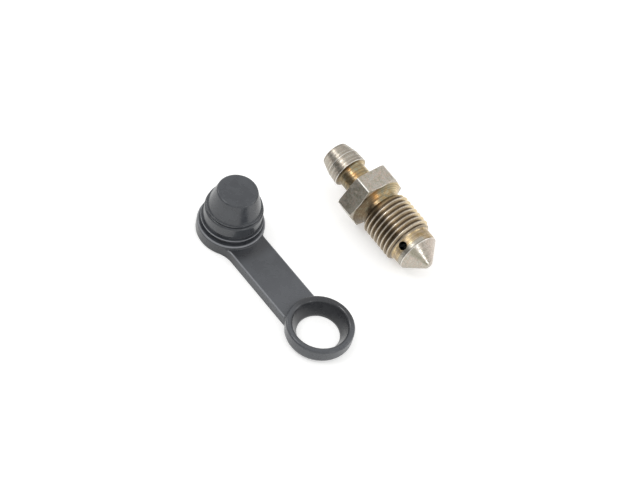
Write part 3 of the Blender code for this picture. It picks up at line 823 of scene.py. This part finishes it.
class BLEEDER_OT_model_cap(bpy.types.Operator):
    """Moulds the dust cap with its strap and ring and stands it in its place"""

    bl_idname = "bleeder.model_cap"
    bl_label = "Dust cap"

    def execute(self, context):
        sizes = context.scene.cap_sizes
        crown, _ = mount("cap_crown")
        low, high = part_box("dust_cap")
        middle = Vector((crown.x, crown.y, 0))
        ring_middle = Vector((high.x - sizes.ring_radius, low.y + sizes.ring_radius, 0))
        to_ring = ring_middle - middle
        pitch = to_ring.length
        cap = turned("dust_cap_fine", cap_outline(sizes, crown.z), sizes.segments)
        ring = turned("ring", ring_outline(sizes), sizes.segments)
        settle(ring, (pitch, 0, 0), (0, 0, 0))
        combine(cap, "UNION", strap(sizes, pitch))
        combine(cap, "UNION", ring)
        turn = math.atan2(to_ring.y, to_ring.x)
        settle(cap, middle, (0, 0, turn))
        surface = BlackRubber(sizes, context.scene.finishes, middle, turn, pitch).material
        dress(cap, surface, math.radians(40), "dust_cap")
        return {"FINISHED"}


class Nodes:
    """A node tree under construction, with short calls for the nodes that a pattern is made of."""

    def __init__(self, tree):
        self.tree = tree

    def feed(self, node, inputs):
        """Links outputs to a node's inputs, given by name or number, or sets them to plain values."""
        for name, value in inputs.items():
            if isinstance(value, bpy.types.NodeSocket):
                self.tree.links.new(value, node.inputs[name])
            else:
                node.inputs[name].default_value = value

    def node(self, kind, inputs=(), **settings):
        """Adds a node, sets its options and feeds its inputs."""
        made = self.tree.nodes.new(kind)
        for setting, value in settings.items():
            setattr(made, setting, value)
        self.feed(made, dict(inputs))
        return made

    def math(self, operation, *values, clamp=False):
        """A Math node."""
        made = self.node("ShaderNodeMath", enumerate(values), operation=operation, use_clamp=clamp)
        return made.outputs["Value"]

    def times(self, first, *others):
        """The product of values."""
        for other in others:
            first = self.math("MULTIPLY", first, other)
        return first

    def most(self, first, *others):
        """The largest of several values."""
        for other in others:
            first = self.math("MAXIMUM", first, other)
        return first

    def plus(self, first, second):
        """The sum of two values."""
        return self.math("ADD", first, second)

    def minus(self, first, second):
        """The difference of two values."""
        return self.math("SUBTRACT", first, second)

    def hypot(self, first, second):
        """The length of a vector from two coordinates at right angles."""
        return self.math("SQRT", self.plus(self.times(first, first), self.times(second, second)))

    def split(self, vector):
        """The three coordinates of a vector."""
        return tuple(self.node("ShaderNodeSeparateXYZ", {"Vector": vector}).outputs)

    def step(self, value, low, high, bottom=0.0, top=1.0):
        """Goes smoothly from bottom to top while a value goes from low to high, which may lie below low."""
        inputs = {"Value": value, "From Min": low, "From Max": high, "To Min": bottom, "To Max": top}
        return self.node("ShaderNodeMapRange", inputs, interpolation_type="SMOOTHSTEP").outputs["Result"]

    def band(self, value, low, high, soft):
        """One inside a band of a value and nothing outside it, with soft borders."""
        rising = self.step(value, low - soft, low + soft)
        return self.times(rising, self.step(value, high + soft, high - soft))


class Finish(Nodes):
    """A material under construction."""

    def __init__(self, name):
        self.material = bpy.data.materials.new(name)
        self.material.use_nodes = True
        super().__init__(self.material.node_tree)
        self.shader = self.tree.nodes["Principled BSDF"]

    def local(self, location, rotation):
        """Coordinates in millimetres from a piece's own origin, along its own axes."""
        source = self.node("ShaderNodeTexCoord").outputs["Object"]
        inputs = {"Vector": source, "Location": location, "Rotation": rotation, "Scale": (MM, MM, MM)}
        return self.node("ShaderNodeMapping", inputs, vector_type="TEXTURE").outputs["Vector"]

    def noise(self, vector, scale, detail=2.0, roughness=0.5):
        """A Noise texture's grey value; the scale is in spots to the millimetre."""
        inputs = {"Vector": vector, "Scale": scale, "Detail": detail, "Roughness": roughness}
        return self.node("ShaderNodeTexNoise", inputs).outputs["Fac"]

    def lines(self, along, radius, density, seed):
        """Grey lines round a turned form, so many to the millimetre."""
        inputs = {"X": self.times(along, density), "Y": self.times(radius, density), "Z": seed}
        return self.noise(self.node("ShaderNodeCombineXYZ", inputs).outputs["Vector"], 1.0, 2.0, 0.6)

    def layers(self, tone, *over):
        """A colour with others laid over it, each given as a mask and a colour."""
        for mask, upper in over:
            # The Mix node has its colours in the inputs 6 and 7 and in the output 2
            pair = [v if isinstance(v, bpy.types.NodeSocket) else (*v, 1.0) for v in (tone, upper)]
            inputs = {"Factor": mask, 6: pair[0], 7: pair[1]}
            tone = self.node("ShaderNodeMix", inputs, data_type="RGBA", blend_type="MIX").outputs[2]
        return tone

    def bump(self, height, strength, millimetres, below=None):
        """A Bump node's normal, over another one where that is given."""
        inputs = {"Strength": strength, "Distance": millimetres * MM, "Height": height}
        if below:
            inputs["Normal"] = below
        return self.node("ShaderNodeBump", inputs).outputs["Normal"]


class InMillimetres:
    """Reads the lengths of a group of sizes in millimetres."""

    def __init__(self, group):
        self.group = group

    def __getattr__(self, name):
        return getattr(self.group, name) / MM


class PlatedSteel(Finish):
    """Turned steel, zinc plated and lightly passivated, with a colour on every form, and light and shade
    painted on its sides, edges, thread and drillings.
    """

    def __init__(self, sizes, colours, origin, dip):
        super().__init__("plated_steel")
        self.sizes = sizes
        self.colours = colours
        self.mm = InMillimetres(sizes)
        self.at = InMillimetres(Stations(sizes))
        self.half_flats = self.mm.across_flats / 2
        self.corner = hexagon_corner(sizes) / MM
        place = self.local(origin, (0, dip, 0))
        self.along, self.sideways, self.upwards = self.split(place)
        self.radius = self.hypot(self.sideways, self.upwards)
        # From -1 on the side of the dust cap, over 0 on top and below, to 1 on the far side
        self.lean = self.math("DIVIDE", self.sideways, self.radius)
        self.cloud = self.noise(place, 0.45, 3.0, 0.55)
        self.blotch = self.noise(place, 1.3, 4.0, 0.62)
        self.mottle = self.noise(place, 2.3, 3.0, 0.6)
        self.speckle = self.noise(place, 4.2, 3.0, 0.6)
        # Lines from the lathe tool
        self.fine_lines = self.lines(self.along, self.radius, 9.0, 0.0)
        self.coarse_lines = self.lines(self.along, self.radius, 4.2, 4.0)
        self.find_forms()
        looks = {"Base Color": self.base_colour(), "Roughness": self.roughness(), "Normal": self.grain()}
        self.feed(self.shader, {**looks, "Metallic": 1.0})

    def find_forms(self):
        """A mask for each form of the screw and for its two sides."""
        at = self.at
        # How far past the flats a point lies, and how far from the dome's turned outline
        self.rise = self.minus(self.along, at.dome)
        way = self.math("SQRT", self.math("DIVIDE", self.rise, self.mm.dome_height, clamp=True))
        outline = self.math("MULTIPLY_ADD", way, self.mm.groove_radius - self.corner, self.corner)
        self.from_dome = self.math("ABSOLUTE", self.minus(outline, self.radius))
        by_flats = self.times(self.step(self.from_dome, 0.14, 0.06), self.step(self.rise, -0.01, 0.03))
        dome = self.most(by_flats, self.step(self.rise, 0.22, 0.26))
        past_neck = self.step(self.along, at.hexagon - 0.05, at.hexagon + 0.01)
        head = self.times(past_neck, self.minus(1.0, dome))
        self.flats = self.times(head, self.step(self.radius, self.half_flats - 0.3, self.half_flats - 0.1))
        self.neck = self.band(self.along, at.barb + 0.12, at.hexagon, 0.08)
        self.under_head = self.times(dome, self.step(self.along, at.thread + 0.45, at.thread + 0.15))
        self.threaded = self.band(self.along, at.thread + 0.3, at.plain_end - 0.3, 0.3)
        self.plain = self.step(self.along, at.plain_end - 0.5, at.plain_end)
        self.cone = self.step(self.along, at.seat - 0.12, at.seat + 0.02)
        # The seat cone is smoother than the rest, and the hexagon's flats aren't turned at all
        self.turned_part = self.minus(1.0, self.most(self.flats, self.times(self.cone, 0.85)))
        # The far side gets a painted reflection, the near side painted shade
        self.far_side = self.step(self.lean, 0.3, 0.9)
        self.near_side = self.step(self.lean, -0.32, -0.72)

    def silvery(self):
        """Thin plating of the nipple and the cone, pinkish and greenish in patches."""
        f = self.colours
        pinkish = self.step(self.mottle, 0.4, 0.65, 0.0, 0.65)
        greenish = self.step(self.blotch, 0.5, 0.3, 0.0, 0.5)
        return self.layers(f.silver, (pinkish, f.rose), (greenish, f.moss))

    def stained(self):
        """Film of the neck and the dome, with amber painted in a streak along their upper near side, where
        the key light's highlight falls, to colour that highlight.
        """
        f = self.colours
        streak = self.times(self.band(self.lean, -0.64, -0.3, 0.16), self.step(self.cloud, 0.36, 0.56))
        return self.layers(f.gold, (self.step(self.blotch, 0.33, 0.67), f.moss), (streak, f.amber))

    def drawn(self):
        """Drawn bar: the hexagon's flats."""
        f = self.colours
        return self.layers(
            f.flat_grey,
            (self.step(self.mottle, 0.42, 0.62, 0.0, 0.85), f.rose),
            (self.step(self.blotch, 0.52, 0.36, 0.0, 0.55), f.moss),
            # Painted shade: greener on the near flat
            (self.step(self.lean, -0.2, -0.6, 0.0, 0.2), f.moss),
        )

    def straw_coloured(self):
        """The plain end, with silver painted on its near side beside the seat cone to tint the highlight
        and the grey band that fall there.
        """
        f = self.colours
        by_seat = self.step(self.along, self.at.seat - 1.4, self.at.seat - 0.6)
        return self.layers(
            f.straw,
            (self.step(self.cloud, 0.4, 0.62), f.gold),
            (self.step(self.blotch, 0.4, 0.7, 0.0, 0.7), f.rose),
            # Painted highlight and shade tint: silver on the near side beside the seat
            (self.times(by_seat, self.step(self.lean, 0.3, 0.0)), f.silver),
        )

    def seat_cone(self, silvery):
        """The seat cone: greenish painted shade below its light streak, a pale painted highlight along it
        and a paler painted reflection beyond it.
        """
        f = self.colours
        return self.layers(
            silvery,
            # Painted shade below the light streak
            (self.times(self.band(self.lean, -0.78, -0.5, 0.1), 0.55), f.moss),
            (self.step(self.lean, -0.3, 0.3, 0.0, 0.3), f.rose_light),
            # Painted highlight along the light streak
            (self.times(self.band(self.lean, -0.47, -0.32, 0.07), 0.6), f.worn),
        )

    def thread(self):
        """The thread: pale crests as painted highlight, brownish flanks and dark roots as painted shade,
        with a painted reflection on the far side and painted shade on the near side.
        """
        f = self.colours
        crest = self.mm.thread_major_radius
        root = self.mm.thread_minor_radius
        # Painted reflection on the far side and painted shade on the near side
        flanks = self.layers(f.flank, (self.far_side, f.straw), (self.times(self.near_side, 0.75), f.brown))
        return self.layers(
            self.layers(f.crest, (self.far_side, f.straw)),
            (self.step(self.radius, crest - 0.03, crest - 0.16), flanks),
            # Painted shade in the thread's roots
            (self.step(self.radius, root + 0.16, root), f.root),
        )

    def worn_and_lit_edges(self):
        """One on the edges painted pale, partly as wear and partly as painted highlight: the hexagon's and
        the turned ones.
        """
        at = self.at
        slant = self.times(self.sideways, math.cos(HALF_SIXTH))
        half_up = self.times(self.upwards, math.sin(HALF_SIXTH))
        heights = (self.upwards, self.plus(half_up, slant), self.minus(half_up, slant))
        height = self.most(*[self.math("ABSOLUTE", height) for height in heights])
        on_head = self.band(self.along, at.hexagon, at.dome + 0.3, 0.03)
        corners = self.times(on_head, self.step(self.radius, self.corner - 0.105, self.corner - 0.065))
        # Where the dome's turned outline comes out of the flats
        rim = self.times(
            self.step(self.from_dome, 0.11, 0.03),
            self.step(height, self.half_flats - 0.14, self.half_flats - 0.06),
            self.step(self.rise, -0.1, 0.02),
        )
        stations = (at.nipple_edge, at.barb, at.seat)
        edges = [self.band(self.along, x - 0.05, x + 0.05, 0.05) for x in stations]
        return self.most(corners, rim, *edges)

    def drillings(self):
        """One in the blind bore and in the cross hole, whose walls are painted near black as shade."""
        seat = self.at.seat
        bore = self.mm.bore_radius
        hole = self.mm.cross_hole_radius
        before_seat = self.step(self.along, seat + 0.2, seat)
        in_bore = self.times(self.step(self.radius, bore + 0.1, bore + 0.02), before_seat)
        lean = self.sizes.cross_hole_lean
        beside = self.times(self.sideways, math.cos(lean))
        beside = self.plus(beside, self.times(self.upwards, math.sin(lean)))
        from_hole = self.hypot(self.minus(self.along, seat - self.mm.cross_hole_from_seat), beside)
        return self.most(in_bore, self.times(self.step(from_hole, hole + 0.05, hole + 0.01), self.plain))

    def base_colour(self):
        """Every form's tone, with painted shade on the near side and a painted reflection on the far side,
        under tool marks, edges painted pale as wear and highlight, and drillings painted dark as shade.
        """
        f = self.colours
        silvery = self.silvery()
        stained = self.stained()
        shaded = self.layers(stained, (self.step(self.blotch, 0.45, 0.7, 1.0, 0.45), f.brown))
        marks = self.times(
            self.step(self.coarse_lines, 0.44, 0.6),
            self.turned_part,
            self.step(self.speckle, 0.3, 0.7, 0.2, 0.6),
            self.minus(1.0, self.threaded),
        )
        return self.layers(
            silvery,
            # Painted shade: brown on the near side of the neck and of the dome
            (self.neck, self.layers(stained, (self.times(self.near_side, 0.5), f.brown))),
            (self.under_head, self.layers(stained, (self.near_side, shaded))),
            # Painted reflection: straw on the far side of the neck and the dome
            (self.times(self.far_side, self.most(self.neck, self.under_head)), f.straw),
            (self.flats, self.drawn()),
            (self.plain, self.straw_coloured()),
            (self.cone, self.seat_cone(silvery)),
            (self.threaded, self.thread()),
            (marks, f.root),
            (self.step(self.speckle, 0.58, 0.36, 0.0, 0.3), f.root),
            # Pale edges: partly wear, partly painted highlight
            (self.times(self.worn_and_lit_edges(), 0.9), f.worn),
            # Painted shade in the drillings
            (self.drillings(), f.inside),
        )

    def roughness(self):
        """Smoother between the tool's lines, rougher on the flats and where the film is blotched."""
        rough = self.plus(self.step(self.coarse_lines, 0.3, 0.7, 0.24, 0.36), self.times(self.flats, 0.08))
        return self.plus(rough, self.step(self.blotch, 0.35, 0.65, 0.0, 0.1))

    def grain(self):
        """The normal with the tool's lines, and the fine pitting of the flats."""
        normal = self.bump(self.times(self.turned_part, self.coarse_lines), 0.7, 0.025)
        normal = self.bump(self.times(self.turned_part, self.fine_lines), 0.5, 0.012, normal)
        return self.bump(self.times(self.flats, self.speckle), 0.4, 0.02, normal)


class BlackRubber(Finish):
    """Moulded rubber: dark, bluish and satin, with a fine grain, paler handled places, painted shade and
    painted edge highlights.
    """

    def __init__(self, sizes, colours, origin, turn, pitch):
        super().__init__("black_rubber")
        self.colours = colours
        self.mm = InMillimetres(sizes)
        place = self.local(origin, (0, 0, turn))
        self.lengthwise, self.across, self.height = self.split(place)
        self.past_ring = self.minus(self.lengthwise, pitch / MM)
        self.from_cap = self.hypot(self.lengthwise, self.across)
        self.from_ring = self.hypot(self.past_ring, self.across)
        self.cloud = self.noise(place, 0.35, 4.0, 0.6)
        self.fine_grain = self.noise(place, 9.0, 3.0, 0.6)
        waves = self.noise(place, 1.1, 2.0)
        normal = self.bump(waves, 0.3, 0.06, self.bump(self.fine_grain, 0.25, 0.012))
        looks = {"Base Color": self.base_colour(), "Roughness": self.step(self.cloud, 0.3, 0.7, 0.23, 0.33)}
        self.feed(self.shader, {**looks, "Specular IOR Level": 0.6, "Normal": normal})

    def base_colour(self):
        """Rubber with dust, paler towards the ring, with painted shade by the cap and in the ring, and
        painted highlights on its edges.
        """
        f = self.colours
        flange = self.mm.flange_radius
        return self.layers(
            f.rubber,
            (self.step(self.cloud, 0.35, 0.65), f.rubber_worn),
            (self.step(self.fine_grain, 0.5, 0.75, 0.0, 0.35), f.dust),
            # Paler along the strap towards the ring
            (self.step(self.lengthwise, 9.0, 22.0, 0.0, 0.65), f.dust),
            # Painted shade on the strap beside the cap
            (self.times(self.band(self.from_cap, flange + 0.1, flange + 2.4, 1.6), 0.8), f.clean),
            # Painted shade in the ring's funnel and on its far crest
            (self.inside_the_ring(), f.clean),
            # Painted highlights on the fin's, the flange's and the strap's edges
            (self.edge_highlights(), f.rim),
        )

    def inside_the_ring(self):
        """Where shade is painted in the ring: most in its funnel, and on the half of its crest towards the
        cap and the far side.
        """
        crest = self.mm.ring_crest_radius
        wall = self.mm.ring_radius
        funnel = self.step(self.from_ring, crest + 0.5, crest - 0.3, 0.0, 0.7)
        reach = self.times(self.past_ring, SHADED_SIDE[0])
        reach = self.math("MULTIPLY_ADD", self.across, SHADED_SIDE[1], reach)
        on_crest = self.times(
            self.step(self.math("DIVIDE", reach, self.from_ring), 0.0, 0.7, 0.0, 0.7),
            self.step(self.from_ring, wall - 0.02, wall - 0.25),
            self.step(self.height, self.mm.strap_thickness, self.mm.ring_height),
        )
        return self.most(funnel, on_crest)

    def edge_highlights(self):
        """Most on the edges where a highlight is painted pale: the fin's, the flange's and the strap's."""
        mm = self.mm
        fin = self.times(
            self.step(self.from_cap, mm.fin_radius - 0.12, mm.fin_radius - 0.04),
            self.band(self.height, mm.fin_top - 0.2, mm.fin_top, 0.06),
        )
        flange = self.times(
            self.band(self.from_cap, mm.flange_radius - 0.33, mm.flange_radius - 0.01, 0.06),
            self.band(self.height, mm.flange_height - 0.24, mm.flange_height - 0.04, 0.05),
        )
        strap_edges = self.times(
            self.band(self.height, mm.strap_thickness - 0.22, mm.strap_thickness - 0.02, 0.03),
            self.step(self.from_cap, mm.ring_radius + 0.2, mm.ring_radius + 0.5),
            self.step(self.from_ring, mm.ring_radius + 0.2, mm.ring_radius + 0.5),
        )
        return self.times(self.most(fin, flange, strap_edges), 0.8)


def white_table(f, size, glow):
    """The table: white to the camera and in reflections, with the part's shadow kept."""
    bpy.ops.object.select_all(action="DESELECT")
    bpy.ops.mesh.primitive_plane_add(size=size, location=(0, 0, -TABLE_GAP))
    table = bpy.context.object
    table.name = "table"
    finish = Finish("white_table")
    shader = finish.shader
    finish.feed(shader, {"Base Color": (*f.table, 1.0), "Roughness": 0.9, "Specular IOR Level": 0.1})
    rays = finish.node("ShaderNodeLightPath").outputs
    seen = finish.most(rays["Is Camera Ray"], rays["Is Glossy Ray"], rays["Is Transmission Ray"])
    emission = finish.node("ShaderNodeEmission", {"Strength": finish.times(seen, glow)})
    both = finish.node("ShaderNodeAddShader", {0: shader.outputs["BSDF"], 1: emission.outputs["Emission"]})
    finish.feed(finish.tree.nodes["Material Output"], {"Surface": both.outputs["Shader"]})
    table.data.materials.append(finish.material)


def soft_box(name, place, size, power):
    """A square soft box that faces the part."""
    bpy.ops.object.light_add(type="AREA", location=place)
    light = bpy.context.object
    light.name = name
    light.data.shape = "SQUARE"
    light.data.size = size
    light.data.energy = power
    light.rotation_euler = (-Vector(place)).to_track_quat("-Z", "Y").to_euler()


def studio_world(studio):
    """The room: a white dome, weaker at the horizon and on the near side, where the operator stands."""
    room = bpy.data.worlds.new("studio")
    bpy.context.scene.world = room
    room.use_nodes = True
    world = Nodes(room.node_tree)
    generated = world.node("ShaderNodeTexCoord").outputs["Generated"]
    dark_side = Vector(studio.dark_side).normalized()
    towards = world.node("ShaderNodeVectorMath", {0: generated, 1: dark_side}, operation="DOT_PRODUCT")
    strengths = (studio.dome_light, studio.dark_side_light)
    dome = world.step(towards.outputs["Value"], studio.dark_side_edge, studio.dark_side_core, *strengths)
    height = world.split(generated)[2]
    horizon = world.step(height, studio.horizon_low, studio.horizon_high, studio.horizon_light, 1.0)
    seen = world.node("ShaderNodeLightPath").outputs["Is Camera Ray"]
    # The Mix node has its factor in the input 0 and plain values in the inputs 2 and 3
    pick = world.node("ShaderNodeMix", {0: seen, 2: world.times(dome, horizon), 3: 1.0}, data_type="FLOAT")
    looks = {"Color": (1.0, 1.0, 1.0, 1.0), "Strength": pick.outputs[0]}
    world.feed(world.tree.nodes["Background"], looks)


def stand_camera(studio):
    """The camera at its place, turned to the target."""
    stand = Vector((math.sin(studio.azimuth), -math.cos(studio.azimuth), 0)) * math.cos(studio.elevation)
    stand.z = math.sin(studio.elevation)
    bpy.ops.object.camera_add(location=Vector(studio.target) + stand * studio.distance)
    camera = bpy.context.object
    right = (-stand).cross(Vector((0, 0, 1))).normalized()
    up = right.cross(-stand)
    facing = Matrix((right, up, stand)).transposed().to_4x4() @ Matrix.Rotation(studio.roll, 4, "Z")
    camera.rotation_euler = facing.to_euler()
    camera.data.lens = studio.focal_length
    camera.data.clip_start = 0.01
    bpy.context.scene.camera = camera


class BLEEDER_OT_model_stage(bpy.types.Operator):
    """Sets up the white table, the soft light and the camera"""

    bl_idname = "bleeder.model_stage"
    bl_label = "Studio"

    def execute(self, context):
        studio = context.scene.studio_sizes
        white_table(context.scene.finishes, studio.table_size, studio.table_glow)
        studio_world(studio)
        for box in SOFT_BOXES:
            soft_box(*box)
        stand_camera(studio)
        context.scene.view_settings.view_transform = "Standard"
        return {"FINISHED"}


class BLEEDER_PT_panel(bpy.types.Panel):
    """Lists the pieces with their sizes, and the colours"""

    bl_label = "Bleeder screw"
    bl_idname = "BLEEDER_PT_panel"
    bl_space_type = "VIEW_3D"
    bl_region_type = "UI"
    bl_category = "Bleeder screw"

    def draw(self, context):
        for operator, group in BUTTONS:
            self.layout.operator(operator)
            held = getattr(context.scene, group)
            for name in held.__annotations__:
                self.layout.prop(held, name)
        for name in Finishes.__annotations__:
            self.layout.prop(context.scene.finishes, name)


BUTTONS = (
    (BLEEDER_OT_model_screw.bl_idname, "screw_sizes"),
    (BLEEDER_OT_model_cap.bl_idname, "cap_sizes"),
    (BLEEDER_OT_model_stage.bl_idname, "studio_sizes"),
)
GROUPS = (
    ("screw_sizes", ScrewSizes),
    ("cap_sizes", CapSizes),
    ("finishes", Finishes),
    ("studio_sizes", StudioSizes),
)
OTHER_CLASSES = (BLEEDER_OT_model_screw, BLEEDER_OT_model_cap, BLEEDER_OT_model_stage, BLEEDER_PT_panel)


def register():
    """Registers the classes and hangs the sizes and colours on the scene."""
    for name, group in GROUPS:
        bpy.utils.register_class(group)
        setattr(bpy.types.Scene, name, PointerProperty(type=group))
    for made in OTHER_CLASSES:
        bpy.utils.register_class(made)


def unregister():
    """Takes the classes, sizes and colours away again."""
    for made in reversed(OTHER_CLASSES):
        bpy.utils.unregister_class(made)
    for name, group in reversed(GROUPS):
        delattr(bpy.types.Scene, name)
        bpy.utils.unregister_class(group)


def main():
    """Models every piece and the studio."""
    register()
    bpy.ops.bleeder.model_screw()
    bpy.ops.bleeder.model_cap()
    bpy.ops.bleeder.model_stage()


if __name__ == "__main__":
    main()
